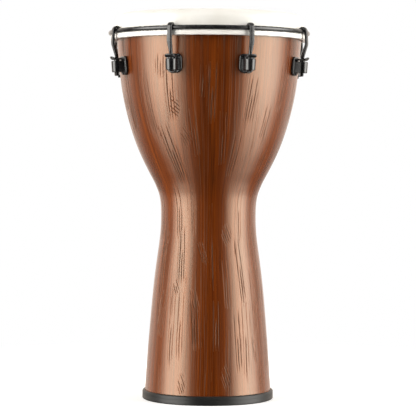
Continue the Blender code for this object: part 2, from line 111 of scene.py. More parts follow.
def finish_mesh(name, points, faces, sharp=None):
    """A smooth closed mesh that faces out. Edges over the sharp angle, in degrees, stay crisp."""
    mesh = bpy.data.meshes.new(name)
    mesh.from_pydata([tuple(map(float, p)) for p in points], [], faces)
    bm = bmesh.new()
    bm.from_mesh(mesh)
    bmesh.ops.recalc_face_normals(bm, faces=bm.faces)
    bm.to_mesh(mesh)
    bm.free()
    mesh.shade_smooth()
    if sharp is not None:
        mesh.set_sharp_from_angle(angle=math.radians(sharp))
    return mesh


def turned(name, outline, sides, sharp=None):
    """A closed (radius, height) outline turned about Z."""
    points, faces, rings = [], [], []
    for radius, z in outline:
        if radius < 1e-7:
            rings.append([len(points)] * sides)
            points.append((0, 0, z))
            continue
        rings.append(list(range(len(points), len(points) + sides)))
        points += [(radius * math.cos(k * FULL_TURN / sides), radius * math.sin(k * FULL_TURN / sides), z)
                   for k in range(sides)]
    for low, high in zip(rings, rings[1:] + rings[:1]):
        if low[0] == low[1] and high[0] == high[1]:
            continue
        for k in range(sides):
            j = (k + 1) % sides
            corners = [low[k], low[j], high[j], high[k]]
            faces.append(list(dict.fromkeys(corners)))
    return finish_mesh(name, points, faces, sharp)


def skinned(name, loops, closed=False, sharp=None):
    """Skin through loops of equally many points, capped at the ends or closed on itself."""
    count = len(loops[0])
    points = [point for loop in loops for point in loop]
    faces = []
    for i in range(len(loops) if closed else len(loops) - 1):
        low, high = i * count, (i + 1) % len(loops) * count
        faces += [(low + k, low + (k + 1) % count, high + (k + 1) % count, high + k) for k in range(count)]
    if not closed:
        faces += [tuple(range(count)), tuple(range(len(points) - count, len(points)))]
    return finish_mesh(name, points, faces, sharp)


def filleted(corners, closed=True, steps=5):
    """Points along straight runs whose corners (x, y, radius) are rounded."""
    found = []
    for i, (x, y, radius) in enumerate(corners):
        here = Vector((x, y))
        if radius <= 0 or (not closed and i in (0, len(corners) - 1)):
            found.append((x, y))
            continue
        before = (Vector(corners[i - 1][:2]) - here).normalized()
        after = (Vector(corners[(i + 1) % len(corners)][:2]) - here).normalized()
        half = before.angle(after) / 2
        centre = here + (before + after).normalized() * (radius / math.sin(half))
        start, end = here + before * (radius / math.tan(half)), here + after * (radius / math.tan(half))
        first = math.atan2(start.y - centre.y, start.x - centre.x)
        turn = math.atan2(end.y - centre.y, end.x - centre.x) - first
        turn = (turn + math.pi) % FULL_TURN - math.pi
        found += [(centre.x + radius * math.cos(first + turn * k / steps),
                   centre.y + radius * math.sin(first + turn * k / steps)) for k in range(steps + 1)]
    return found


def arc(centre, radius, start, end, steps):
    """Points along an arc, both ends included."""
    return [(centre[0] + radius * math.cos(start + (end - start) * k / steps),
             centre[1] + radius * math.sin(start + (end - start) * k / steps)) for k in range(steps + 1)]


def round_loop(count, reach_at):
    """(x, y) points round an axis, at a reach that is a function of the angle."""
    angles = [k * FULL_TURN / count for k in range(count)]
    return [(reach_at(angle) * math.cos(angle), reach_at(angle) * math.sin(angle)) for angle in angles]


def oval(angle, half_x, half_y, squareness):
    """Centre to edge of a rounded rectangle in a direction. Squareness 2 is an ellipse."""
    share = (abs(math.cos(angle)) / half_x) ** squareness + (abs(math.sin(angle)) / half_y) ** squareness
    return share ** (-1 / squareness)


def carved(base, joined=(), cut=(), after=()):
    """The base with meshes joined to it and cut from it, then changed by (modifier, settings) pairs."""
    helper, *tools = [bpy.data.objects.new("helper", mesh) for mesh in (base, *joined, *cut)]
    operations = ["UNION"] * len(joined) + ["DIFFERENCE"] * len(cut)
    steps = [("BOOLEAN", {"operation": operation, "solver": "EXACT", "object": tool})
             for operation, tool in zip(operations, tools)]
    for one in (helper, *tools):
        bpy.context.scene.collection.objects.link(one)
    for kind, settings in (*steps, *after):
        modifier = helper.modifiers.new(kind, kind)
        for key, value in settings.items():
            setattr(modifier, key, value)
    bpy.context.view_layer.update()
    made = bpy.data.meshes.new_from_object(helper.evaluated_get(bpy.context.evaluated_depsgraph_get()))
    made.name = base.name
    for one in (helper, *tools):
        bpy.data.objects.remove(one)
    return made


def piece(name, mesh, material, body, slot, *nodes):
    """One shown piece, which rides on a body and stands for its CAD nodes."""
    obj = bpy.data.objects.new(name, mesh)
    bpy.context.scene.collection.objects.link(obj)
    mesh.materials.clear()
    for one in material if isinstance(material, (list, tuple)) else [material]:
        mesh.materials.append(one)
    if body:
        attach(obj, body)
    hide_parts(*nodes)
    return obj


# Materials

class Nodes:
    """Short names for the nodes that the materials and the studio use."""

    def __init__(self, tree):
        self.tree = tree

    def node(self, kind, inputs=(), **settings):
        made = self.tree.nodes.new(kind)
        for key, value in settings.items():
            setattr(made, key, value)
        for key, value in dict(inputs).items():
            self.feed(made.inputs[key], value)
        return made

    def feed(self, socket, value):
        if isinstance(value, bpy.types.NodeSocket):
            self.tree.links.new(value, socket)
        elif isinstance(value, bpy.types.Node):
            self.tree.links.new(value.outputs[0], socket)
        elif isinstance(value, (tuple, list)) and len(value) == 3 and socket.type == "RGBA":
            socket.default_value = (*value, 1)
        else:
            socket.default_value = value

    def calc(self, operation, a, b=0.0, clamp=False):
        made = self.node("ShaderNodeMath", operation=operation, use_clamp=clamp)
        for socket, value in zip(made.inputs, (a, b)):
            self.feed(socket, value)
        return made.outputs[0]

    def times(self, a, b):
        return self.calc("MULTIPLY", a, b)

    def plus(self, a, b):
        return self.calc("ADD", a, b)

    def minus(self, a, b):
        return self.calc("SUBTRACT", a, b)

    def span(self, value, low, high, to_low=0.0, to_high=1.0):
        """Eases from one number to another as the value runs from low to high."""
        made = self.node("ShaderNodeMapRange", {"Value": value, "From Min": low, "From Max": high,
                                                "To Min": to_low, "To Max": to_high},
                         interpolation_type="SMOOTHSTEP")
        return made.outputs["Result"]

    def noise(self, vector, scale=1.0, offset=(0, 0, 0), detail=2.0, roughness=0.5, distortion=0.0):
        """Noise of one scale, or of one along each axis."""
        if isinstance(scale, tuple):
            vector = self.node("ShaderNodeMapping", {"Vector": vector, "Scale": scale, "Location": offset})
            scale = 1.0
        return self.node("ShaderNodeTexNoise", {"Vector": vector, "Scale": scale, "Detail": detail,
                                                "Roughness": roughness, "Distortion": distortion}).outputs[0]

    def mix(self, factor, a, b, blend="MIX"):
        made = self.node("ShaderNodeMix", data_type="RGBA", blend_type=blend)
        self.feed(made.inputs[0], factor)
        self.feed(made.inputs[6], a)
        self.feed(made.inputs[7], b)
        return made.outputs[2]

    def ramp(self, factor, *stops):
        made = self.node("ShaderNodeValToRGB", {"Fac": factor})
        elements = made.color_ramp.elements
        while len(elements) < len(stops):
            elements.new(0.5)
        for element, (place, colour) in zip(elements, stops):
            element.position = place
            element.color = (*colour, 1)
        return made.outputs[0]

    def bump(self, height, distance, strength=1.0, normal=None):
        made = self.node("ShaderNodeBump", {"Height": height, "Distance": distance, "Strength": strength})
        if normal is not None:
            self.feed(made.inputs["Normal"], normal)
        return made.outputs[0]


class Finish(Nodes):
    """A material under construction."""

    def __init__(self, name, **constants):
        self.material = bpy.data.materials.new(name)
        self.material.use_nodes = True
        super().__init__(self.material.node_tree)
        self.shader = self.tree.nodes["Principled BSDF"]
        self.fix(**constants)

    def fix(self, **constants):
        """Sets constants on the shader's own sockets."""
        for key, value in constants.items():
            socket = key.replace("_", " ").title().replace("Ior", "IOR")
            self.shader.inputs[socket].default_value = value

    def place(self):
        return self.node("ShaderNodeTexCoord").outputs["Object"]

    def finished(self, **sockets):
        """The material, with these sockets of its shader fed."""
        for key, value in sockets.items():
            self.feed(self.shader.inputs[key.replace("_", " ").title()], value)
        return self.material


def strokes(f, attribute, wobble, wobble_length, breaks):
    """Strokes of one attribute (place across in strokes, metres along, strength), 0 off them to 1 on them.

    They wander by a share of their spacing over the wobble's length, and break off over the other length.
    """
    half_width = 0.15            # as a share of their spacing
    place = f.node("ShaderNodeAttribute", attribute_name=attribute).outputs["Vector"]
    parts = f.node("ShaderNodeSeparateXYZ", {"Vector": place})
    across, along, strength = parts.outputs
    drift = f.noise(place, (0.35, 1 / wobble_length, 0), detail=2)
    shifted = f.plus(across, f.times(f.minus(drift, 0.5), wobble))
    number = f.calc("FLOOR", shifted)
    off = f.calc("ABSOLUTE", f.minus(f.calc("FRACT", shifted), 0.5))
    seed = f.node("ShaderNodeCombineXYZ", {"X": f.times(number, 7.31), "Y": f.times(along, 1 / breaks)})
    life = f.noise(seed.outputs[0], detail=1.5)
    alive = f.span(life, 0.40, 0.50)
    thin = f.times(f.plus(0.35, alive), half_width)
    line = f.span(f.calc("DIVIDE", off, thin), 1.0, 0.5)
    return f.calc("MULTIPLY", f.times(line, alive), strength, clamp=True)


def shell_finish():
    """Orange-brown stain over a moulded plank grain, under a satin varnish.

    Hairlines and grooves follow the contours of stretched noise. Cracks and cuts follow the mesh's own
    attributes. Their dark colour is painted shade in the recesses, and they are partly metallic so that the
    varnish shows no reflection in them, which keeps that painted shade dark under the soft boxes.
    """
    f = Finish("weathered_plank")
    grain = f.node("ShaderNodeAttribute", attribute_name="grain").outputs["Vector"]
    streak = f.noise(grain, (24, 24, 3.0), detail=3, roughness=0.5)
    line = f.noise(grain, (80, 80, 7), (5, 2, 7), detail=2.0, roughness=0.45)
    blotch = f.noise(grain, (3.0, 3.0, 5.0), (4, 1, 2), detail=3)
    board = f.noise(grain, (6.5, 6.5, 1.4), (9, 3, 5), detail=2)
    fibre = f.noise(grain, (120, 120, 12), (2, 8, 3), detail=2.5, roughness=0.6)
    rings = f.noise(grain, (14, 14, 1.3), detail=1.5, roughness=0.4)
    fine_rings = f.noise(grain, (40, 40, 2.6), (1, 7, 8), detail=1.0, roughness=0.4)

    def contour(value, level, width):
        return f.span(f.calc("ABSOLUTE", f.minus(value, level)), width, 0.0)

    gate = f.span(blotch, 0.44, 0.58)
    other_gate = f.span(board, 0.62, 0.46, 0.2, 1.0)
    groove = f.times(f.calc("MAXIMUM", contour(rings, 0.5, 0.020), contour(rings, 0.60, 0.016)), gate)
    hairline = f.times(f.calc("MAXIMUM", contour(fine_rings, 0.47, 0.030), contour(fine_rings, 0.60, 0.024)),
                       other_gate)
    crack = strokes(f, "crack", 0.7, 0.10, 0.09)
    chatter = strokes(f, "chatter", 0.4, 0.02, 0.022)
    marks = f.calc("MAXIMUM", crack, chatter)

    stain = f.ramp(streak, (0.32, (0.130, 0.0245, 0.0020)), (0.50, (0.154, 0.0300, 0.0026)),
                   (0.68, (0.180, 0.0375, 0.0036)))
    tone = f.ramp(board, (0.35, (0.90, 0.88, 0.86)), (0.5, (1.0, 0.99, 0.97)), (0.66, (1.08, 1.08, 1.0)))
    colour = f.mix(1.0, stain, tone, "MULTIPLY")
    colour = f.mix(1.0, colour, f.ramp(line, (0.38, (0.72, 0.69, 0.66)), (0.47, (0.98, 0.97, 0.96)),
                                       (0.62, (1.13, 1.14, 1.12))), "MULTIPLY")
    colour = f.mix(f.span(fibre, 0.35, 0.68, 0.20, 0.0), colour, (0.050, 0.012, 0.002))
    colour = f.mix(f.times(hairline, 0.60), colour, (0.040, 0.011, 0.003))
    colour = f.mix(f.times(groove, 0.62), colour, (0.042, 0.011, 0.003))
    # Cracks and cuts darkened: painted shade in their recesses
    colour = f.mix(f.times(marks, 0.88), colour, (0.040, 0.015, 0.006))
    # Metallic share over the near-black colour, so no reflection shows in cracks, cuts and a little in grooves:
    # painted shade
    painted_recess_shade = f.calc("MAXIMUM", f.times(marks, 0.78), f.times(groove, 0.2))

    depth = f.times(f.minus(fibre, 0.5), 0.03)
    depth = f.plus(depth, f.times(f.minus(streak, 0.5), 0.03))
    for lines, much in ((hairline, -0.02), (groove, -0.10), (marks, -0.40)):
        depth = f.plus(depth, f.times(lines, much))
    normal = f.bump(depth, 0.55 * MM, 0.85)
    rough = f.plus(f.span(streak, 0.3, 0.7, 0.27, 0.23), f.times(f.calc("MAXIMUM", marks, groove), 0.35))
    f.fix(specular_ior_level=0.85, specular_tint=(1.0, 0.78, 0.59, 1))
    return f.finished(base_color=colour, metallic=painted_recess_shade, roughness=rough, normal=normal)


def inner_shell_finish():
    """Dark moulded inside with a faint flow texture."""
    f = Finish("moulded_inside")
    place = f.place()
    flow = f.noise(place, (60, 60, 22), detail=4)
    peel = f.noise(place, 420, detail=2)
    colour = f.mix(f.span(flow, 0.35, 0.65), (0.020, 0.013, 0.010), (0.038, 0.023, 0.016))
    normal = f.bump(peel, 0.25 * MM, 0.6, f.bump(flow, 0.8 * MM, 0.5))
    return f.finished(base_color=colour, roughness=f.span(flow, 0.3, 0.7, 0.5, 0.66), normal=normal)


def film_finish():
    """Off-white coated film with a fine tooth and very faint clouding."""
    f = Finish("coated_film")
    place = f.place()
    cloud = f.noise(place, 26, detail=4)
    tooth = f.noise(place, 1500, detail=2)
    fleck = f.noise(place, (260, 90, 260), detail=3, distortion=0.6)
    colour = f.mix(f.span(cloud, 0.3, 0.7), (0.725, 0.710, 0.672), (0.770, 0.760, 0.732))
    colour = f.mix(f.span(fleck, 0.62, 0.74, 0, 0.22), colour, (0.65, 0.63, 0.58))
    f.fix(coat_weight=0.15, coat_roughness=0.3)
    normal = f.bump(tooth, 0.06 * MM, 0.5)
    return f.finished(base_color=colour, roughness=f.span(cloud, 0.3, 0.7, 0.40, 0.50), normal=normal)


def hoop_finish():
    """Glossy white enamel with slight runs."""
    f = Finish("white_enamel")
    place = f.place()
    wave = f.noise(place, (55, 55, 140), detail=3)
    speck = f.noise(place, 900, detail=2)
    colour = f.mix(f.span(wave, 0.35, 0.65), (0.76, 0.745, 0.71), (0.81, 0.80, 0.77))
    colour = f.mix(f.span(speck, 0.70, 0.78, 0, 0.35), colour, (0.62, 0.60, 0.55))
    f.fix(coat_weight=0.3, coat_roughness=0.12)
    return f.finished(base_color=colour, roughness=f.span(wave, 0.3, 0.7, 0.24, 0.36),
                 normal=f.bump(wave, 0.5 * MM, 0.35))


def black_finish(name, colour, roughness, peel_size, peel_depth, coat):
    """Black coating with orange peel, and a little dust and rubbing."""
    f = Finish(name)
    place = f.place()
    peel = f.noise(place, 1 / peel_size, detail=2.5)
    rub = f.noise(place, 140, detail=5, roughness=0.65)
    dust = f.noise(place, 45, detail=4)
    lighter = tuple(c * 2.1 + 0.006 for c in colour)
    shade = f.mix(f.span(dust, 0.4, 0.7, 0, 0.6), colour, lighter)
    shade = f.mix(f.span(rub, 0.66, 0.78, 0, 0.5), shade, tuple(c * 4 for c in lighter))
    rough = f.plus(f.span(rub, 0.3, 0.75, roughness - 0.05, roughness + 0.09),
                   f.span(dust, 0.3, 0.7, -0.02, 0.04))
    f.fix(coat_weight=coat, coat_roughness=0.2)
    return f.finished(base_color=shade, roughness=rough, normal=f.bump(peel, peel_depth, 0.6))


def rubber_finish():
    """Moulded rubber: fine grain, scuffs and a bloom that greys it."""
    f = Finish("moulded_rubber")
    place = f.place()
    grain = f.noise(place, 1100, detail=2)
    scuff = f.noise(place, (70, 70, 320), detail=5, roughness=0.6)
    bloom = f.noise(place, 22, detail=4)
    colour = f.mix(f.span(bloom, 0.35, 0.7), (0.010, 0.010, 0.010), (0.020, 0.020, 0.019))
    colour = f.mix(f.span(scuff, 0.62, 0.78, 0, 0.5), colour, (0.045, 0.044, 0.042))
    normal = f.bump(grain, 0.08 * MM, 0.5, f.bump(scuff, 0.2 * MM, 0.3))
    f.fix(specular_ior_level=0.28)
    return f.finished(base_color=colour, roughness=f.span(bloom, 0.3, 0.7, 0.36, 0.46), normal=normal)


def zinc_finish(name, colour, roughness):
    """Zinc plate with a turned or pressed surface and dull patches."""
    f = Finish(name, metallic=1.0)
    place = f.place()
    patch = f.noise(place, 300, detail=4)
    scratch = f.noise(place, (3000, 3000, 200), detail=2)
    shade = f.mix(f.span(patch, 0.35, 0.7), colour, tuple(c * 0.72 for c in colour))
    return f.finished(base_color=shade, roughness=f.span(patch, 0.3, 0.7, roughness - 0.06, roughness + 0.1),
                 normal=f.bump(scratch, 0.04 * MM, 0.5))


# Shell

def cad_rings(node):
    """(height, inner radius, outer radius) at each full ring of vertices of a turned CAD node."""
    co = np.array([v.co for v in frame["nodes"][node].data.vertices])
    level = np.round(co[:, 2], 5)
    radius = np.hypot(co[:, 0], co[:, 1])
    found = []
    for z in np.unique(level):
        here = radius[level == z]
        if len(np.unique(np.round(np.arctan2(co[level == z, 1], co[level == z, 0]), 3))) >= 40:
            found.append((float(z), float(here.min()), float(here.max())))
    return found


def curve_through(xs, ys, at):
    """A smooth curve through points, with a slope at each that follows its neighbours."""
    xs, ys, at = np.array(xs), np.array(ys), np.array(at)
    steps, slopes = np.diff(xs), np.diff(ys) / np.diff(xs)
    inner = (slopes[:-1] * steps[1:] + slopes[1:] * steps[:-1]) / (steps[:-1] + steps[1:])
    at_point = np.concatenate([[slopes[0]], inner, [slopes[-1]]])
    i = np.clip(np.searchsorted(xs, at, side="right") - 1, 0, len(xs) - 2)
    t, span = (at - xs[i]) / steps[i], steps[i]
    return ((1 + 2 * t) * (1 - t) ** 2 * ys[i] + t * (1 - t) ** 2 * span * at_point[i]
            + t * t * (3 - 2 * t) * ys[i + 1] + t * t * (t - 1) * span * at_point[i + 1])


# Bundles of cracks: degrees round from +X, height, half width and half length in mm, lean in degrees,
# mm between strokes, strength.
CRACKS = (
    (-121, 534, 12, 22, 0, 4.6, 0.8), (-115, 490, 10, 45, 1, 4.4, 1.0), (-120, 395, 12, 55, 9, 4.4, 1.0),
    (-133, 470, 9, 60, 5, 4.4, 0.7), (-88, 490, 7, 50, -2, 5.0, 1.0), (-94, 508, 5, 25, -3, 4.5, 0.7),
    (-80, 420, 6, 45, 1, 4.6, 0.7), (-101, 430, 6, 40, 3, 4.4, 0.7), (-61, 480, 11, 40, -6, 4.4, 0.9),
    (-70, 395, 7, 40, -4, 4.2, 0.7), (-47, 445, 8, 30, -5, 4.4, 0.7), (-36, 500, 8, 40, -3, 4.6, 0.7),
    (-129, 305, 6, 45, 2, 3.8, 0.9), (-122, 235, 9, 50, 4, 4.0, 1.0), (-109, 300, 4, 35, 0, 3.8, 0.6),
    (-86, 250, 4, 70, 0, 4.6, 0.8), (-51, 300, 5, 50, 0, 4.0, 0.8), (-54, 210, 8, 60, 4, 4.0, 1.0),
    (-24, 262, 6, 22, 0, 3.6, 0.8), (-150, 180, 6, 60, 0, 4.2, 0.6), (-128, 115, 6, 65, 0, 4.6, 0.9),
    (-118, 125, 6, 60, 1, 4.4, 0.8), (-104, 130, 8, 45, 5, 4.0, 1.0), (-84, 125, 6, 40, 0, 4.4, 0.9),
    (-61, 100, 7, 55, 3, 4.4, 1.0), (-52, 100, 6, 70, 1, 4.6, 0.9), (-72, 190, 5, 40, 2, 4.0, 0.8),
    (-38, 160, 6, 60, 2, 4.2, 0.8),
)
# Patches of short diagonal cuts, given in the same way
CHATTER = (
    (-114, 470, 10, 22, 52, 5.0, 0.9), (-108, 424, 9, 18, 30, 4.2, 0.6), (-69, 268, 9, 18, 22, 3.8, 1.0),
    (-97, 239, 6, 19, 18, 3.8, 1.0), (-126, 185, 7, 14, 24, 3.6, 1.0), (-115, 32, 8, 20, 22, 3.8, 0.9),
    (-74, 44, 8, 22, 20, 3.8, 0.9), (-40, 82, 5, 22, 10, 3.6, 0.9), (-38, 388, 7, 18, -16, 3.8, 0.9),
    (-104, 165, 6, 20, 16, 3.8, 0.8),
)


def scattered(rng, low, high, count, kind):
    """More bundles or patches over the rest of the drum, from low to high degrees."""
    found = []
    for k in range(count):
        angle = low + (high - low) * (k + rng.random()) / count
        height = rng.choice((rng.uniform(35, 300), rng.uniform(340, 515)))
        if kind == "crack":
            found.append((angle, height, rng.uniform(6, 12), rng.uniform(35, 75), rng.uniform(-5, 5),
                          rng.uniform(3.8, 5.0), rng.uniform(0.7, 1.0)))
        else:
            found.append((angle, height, rng.uniform(6, 11), rng.uniform(14, 26),
                          rng.choice((-1, 1)) * rng.uniform(14, 40), rng.uniform(3.6, 4.8),
                          rng.uniform(0.6, 0.9)))
    return found


def stroke_field(theta, along, rows, features):
    """Per vertex: place across in strokes, metres along, and strength, of the strongest feature there.

    The rows are the outside's heights, its radii and its run in metres from the foot at each height. Round
    a feature its places run on a little with no strength, so that none end inside a face.
    """
    heights, radii, run = rows
    fade, margin = 0.35, 1.6     # as shares of a feature's half size
    field = np.zeros((len(theta), 3), np.float32)
    field[:, 0:2] = 100.0        # where there is no feature
    for angle, z, half_width, half_length, lean, spacing, strength in features:
        centre = math.radians(angle)
        radius = float(np.interp(z * MM, heights, radii))
        middle = float(np.interp(z * MM, heights, run))
        du = (np.remainder(theta - centre + math.pi, FULL_TURN) - math.pi) * radius
        dv = along - middle
        c, s = math.cos(math.radians(lean)), math.sin(math.radians(lean))
        u, v = du * c + dv * s, -du * s + dv * c
        if half_length > 3 * half_width:
            reach = np.maximum(np.abs(u) / (half_width * MM), np.abs(v) / (half_length * MM))
        else:
            reach = np.hypot(du / (half_width * MM), dv / (half_length * MM))
        mask = np.clip((1.0 - reach) / fade, 0, 1) * strength
        stronger = mask > field[:, 2]
        beside = (reach < margin) & (field[:, 2] <= 0) & ~stronger
        for chosen in (stronger, beside):
            field[chosen, 0] = u[chosen] / (spacing * MM) + 0.5
            field[chosen, 1] = v[chosen]
        field[stronger, 2] = mask[stronger]
    return field


def shell_mesh():
    """The goblet: outside rows with the grain's relief, bearing edge, and a plain inside."""
    least_wall, rim_zone, inner_count = 6.5 * MM, 30 * MM, 24
    rings = cad_rings("shell")
    wall = [(z, low, high) for z, low, high in rings if high - low > least_wall and z < HEAD_TOP - rim_zone]
    heights = [z for z, _, _ in wall]
    top = rings[-1][0]
    rim = [ring for ring in rings if ring[0] > heights[-1]]
    outer_z = heights + [rim[0][0]]
    outer_r = [high for _, _, high in wall] + [rim[0][2]]
    rows = np.linspace(outer_z[0], outer_z[-1], int((outer_z[-1] - outer_z[0]) / SHELL_ROW) + 1)
    outside = list(zip(curve_through(outer_z, outer_r, rows), rows))
    crown_radius, crown_z = HEAD_RADIUS - CORNER_RADIUS, outer_z[-1]
    bearing = outer_r[-1] - crown_radius
    edge = arc((crown_radius, crown_z), bearing, 0, math.pi / 2, 10)[1:]
    lip = crown_radius - 4 * MM
    edge += filleted([(lip + 1e-5, top, 0), (lip, top, 0.8 * MM), (lip, top - 10 * MM, 0)], False, 4)[1:]
    inner_rows = np.linspace(heights[-1], heights[0], inner_count)
    inside = list(zip(curve_through(heights, [low for _, low, _ in wall], inner_rows), inner_rows))
    outline = outside + edge + inside
    mesh = turned("shell", outline, SHELL_SIDES, 40)
    add_grain(mesh, outside, outer_z[-1])
    return mesh


def noise_on(points, across, up, shift=(0, 0, 0)):
    """Noise at each point, scaled across and up."""
    return np.array([noise.noise(Vector(p)) for p in points * (across, across, up) + shift])


def add_grain(mesh, outside, outside_top):
    """Grain attributes and relief on the outside, and the inside's own material."""
    co = np.array([vert.co for vert in mesh.vertices], np.float64)
    radius, z = np.hypot(co[:, 0], co[:, 1]), co[:, 2]
    theta = np.arctan2(co[:, 1], co[:, 0])
    rows_r, rows_z = np.array([p[0] for p in outside]), np.array([p[1] for p in outside])
    run = np.concatenate([[0], np.cumsum(np.hypot(np.diff(rows_r), np.diff(rows_z)))])
    along = np.interp(z, rows_z, run)
    outer = (radius > np.interp(z, rows_z, rows_r) - 0.5 * MM) & (z <= outside_top + 1e-6)

    cos, sin = np.cos(theta), np.sin(theta)
    straight = np.stack([cos, sin, along], axis=1)
    bend = noise_on(straight, 1.6, 5.0)
    kink = noise_on(straight, 7, 14, (9, 0, 0))
    turned_to = theta + 0.035 * bend + 0.008 * kink
    grain = np.stack([np.cos(turned_to), np.sin(turned_to), along], axis=1)
    rng = random.Random(12)
    sides_and_back = (-32, 222)
    cracks = list(CRACKS) + scattered(rng, *sides_and_back, 34, "crack")
    cuts = list(CHATTER) + scattered(rng, *sides_and_back, 20, "chatter")
    rows = (rows_z, rows_r, run)
    crack = stroke_field(turned_to, along, rows, cracks)
    chatter = stroke_field(theta, along, rows, cuts)
    for name, values in (("grain", grain), ("crack", crack), ("chatter", chatter)):
        attribute = mesh.attributes.new(name, "FLOAT_VECTOR", "POINT")
        attribute.data.foreach_set("vector", values.astype(np.float32).ravel())

    swell = noise_on(grain, 15, 4.5)
    ripple = noise_on(grain, 34, 9, (0, 0, 5))
    highest = 0.14 * MM          # keeps the relief clear of the lugs
    relief = (0.055 * swell + 0.03 * ripple) * MM - 0.10 * MM * (crack[:, 2] + chatter[:, 2])
    ends = np.clip((z - FOOT_HEIGHT) / (4 * MM), 0, 1) * np.clip((outside_top - 4 * MM - z) / (8 * MM), 0, 1)
    relief = np.where(outer, np.minimum(relief, highest) * ends, 0.0)
    co[:, 0] += relief * cos
    co[:, 1] += relief * sin
    mesh.vertices.foreach_set("co", co.ravel())

    inside = [not all(outer[i] for i in face.vertices) for face in mesh.polygons]
    mesh.polygons.foreach_set("material_index", np.array(inside, np.int32))
    mesh.update()


# Head, hoop, ring and foot

def film_mesh():
    """Flat film with a rounded corner and a straight collar down into the hoop's slot."""
    centre = (HEAD_RADIUS - CORNER_RADIUS, HEAD_TOP - CORNER_RADIUS)
    outside = [(r * MM, HEAD_TOP) for r in (0, 20, 45, 70, 95, 115, 130)]
    outside += arc(centre, CORNER_RADIUS, math.pi / 2, 0, 14)
    collar = np.linspace(centre[1], SKIRT_END, 11)[1:]
    outside += [(HEAD_RADIUS, z) for z in collar]
    inside = [(HEAD_RADIUS - FILM, z) for z in collar[::-1]]
    inside += arc(centre, CORNER_RADIUS - FILM, 0, math.pi / 2, 14)
    inside += [(r * MM, HEAD_TOP - FILM) for r in (130, 95, 45, 0)]
    return turned("head_film", outside + inside, 240, 60)


def hoop_mesh():
    """A folded channel: slot for the film, a shallow groove round the outside, drips on the lower edge."""
    slot_out, slot_in = HEAD_RADIUS + SLOT_ROOM, HEAD_RADIUS - FILM - SLOT_ROOM
    inside, floor = slot_in - 1.0 * MM, HOOP_LOW + 1.4 * MM
    middle, groove = (HOOP_LOW + HOOP_HIGH) / 2 + 0.4 * MM, 0.22 * MM
    outline = filleted([
        (inside, HOOP_LOW, 0.4 * MM), (HOOP_RADIUS, HOOP_LOW, 1.5 * MM),
        (HOOP_RADIUS, middle - 0.7 * MM, 0.2 * MM), (HOOP_RADIUS - groove, middle - 0.4 * MM, 0),
        (HOOP_RADIUS - groove, middle + 0.4 * MM, 0), (HOOP_RADIUS, middle + 0.7 * MM, 0.2 * MM),
        (HOOP_RADIUS, HOOP_HIGH, 1.3 * MM), (slot_out, HOOP_HIGH, 0.3 * MM), (slot_out, floor, 0),
        (slot_in, floor, 0), (slot_in, HOOP_HIGH, 0.3 * MM), (inside, HOOP_HIGH, 0.3 * MM)])
    mesh = turned("flesh_hoop", outline, 360, 50)
    rng = random.Random(5)
    drips = [(angle, rng.uniform(0.35, 0.8), rng.uniform(1.2, 2.4)) for angle in
             (-121, -100, -85.5, -63, -55, -29, 8, 41, 77, 103, 139, 171, 214)]   # degrees, mm deep and wide
    for vert in mesh.vertices:
        reach = math.hypot(vert.co.x, vert.co.y)
        low = max(0.0, 1 - (vert.co.z - HOOP_LOW) / (2.2 * MM)) * max(0.0, 1 - (HOOP_RADIUS - reach) / (5 * MM))
        if low <= 0:
            continue
        theta = math.atan2(vert.co.y, vert.co.x)
        for angle, deep, wide in drips:
            off = ((theta - math.radians(angle) + math.pi) % FULL_TURN - math.pi) * reach / (wide * MM)
            vert.co.z -= deep * MM * low * math.exp(-off * off)
    mesh.update()
    return mesh


def ring_mesh():
    """A rolled rod, butt-welded at the back."""
    weld, weld_width, weld_rise = math.radians(95), math.radians(0.9), 0.32 * MM
    outline = arc((RING_RADIUS, RING_HEIGHT), RING_ROD / 2, 0, FULL_TURN, 28)[:-1]
    mesh = turned("tension_ring", outline, 360)
    for vert in mesh.vertices:
        theta = math.atan2(vert.co.y, vert.co.x)
        off = (theta - weld) / weld_width
        ripple = 1 + 0.10 * math.sin(theta * 900)
        swell = weld_rise * math.exp(-off * off) * ripple
        way = Vector((vert.co.x, vert.co.y, 0)).normalized()
        out = vert.co - way * RING_RADIUS - Vector((0, 0, RING_HEIGHT))
        vert.co += out.normalized() * swell
    return mesh


def foot_mesh():
    """Rubber channel with a rounded outside, a moulding line, and a soft lip against the shell."""
    shell = cad_rings("shell")
    foot = cad_rings("foot_ring")
    slope = (shell[1][2] - shell[0][2]) / (shell[1][0] - shell[0][0])
    slot_low = shell[0][2] + GAP
    slot_top = shell[0][2] + slope * (FOOT_HEIGHT - shell[0][0]) + GAP
    inner = foot[0][1]
    slot_in, slot_floor, lip = inner + 3 * MM, 4 * MM, 9 * MM
    line, line_depth = 7.6 * MM, 0.12 * MM
    outline = filleted([
        (inner, 0, 0.5 * MM), (FOOT_RADIUS, 0, 2.2 * MM), (FOOT_RADIUS, line - 0.5 * MM, 0),
        (FOOT_RADIUS - line_depth, line, 0.2 * MM), (FOOT_RADIUS, line + 0.5 * MM, 0),
        (FOOT_RADIUS, FOOT_HEIGHT, 2.4 * MM), (slot_top, FOOT_HEIGHT, 0.25 * MM),
        (slot_low, slot_floor, 0.2 * MM), (slot_in, slot_floor, 0.2 * MM), (slot_in, lip, 0.6 * MM),
        (inner, lip, 0.8 * MM)], steps=6)
    return turned("foot_ring", outline, 288, 50)


# Pieces at a station, made for azimuth 0 in a frame on the rod at the barrel's middle: X out, Z up

TILTED = Matrix.Rotation(TILT, 4, "Y")
PLATE_BACK = -STAND_OFF + GAP
WALL_ANGLE = math.atan(LUG_SLOPE)


def wall_frame(rise):
    """Frame of a lug screw: Z out through the shell's wall, origin on the wall at the screw's height."""
    lean = Matrix.Rotation(math.pi / 2 + WALL_ANGLE, 4, "Y")
    return Matrix.Translation((-STAND_OFF + rise * LUG_SLOPE, 0, rise)) @ lean


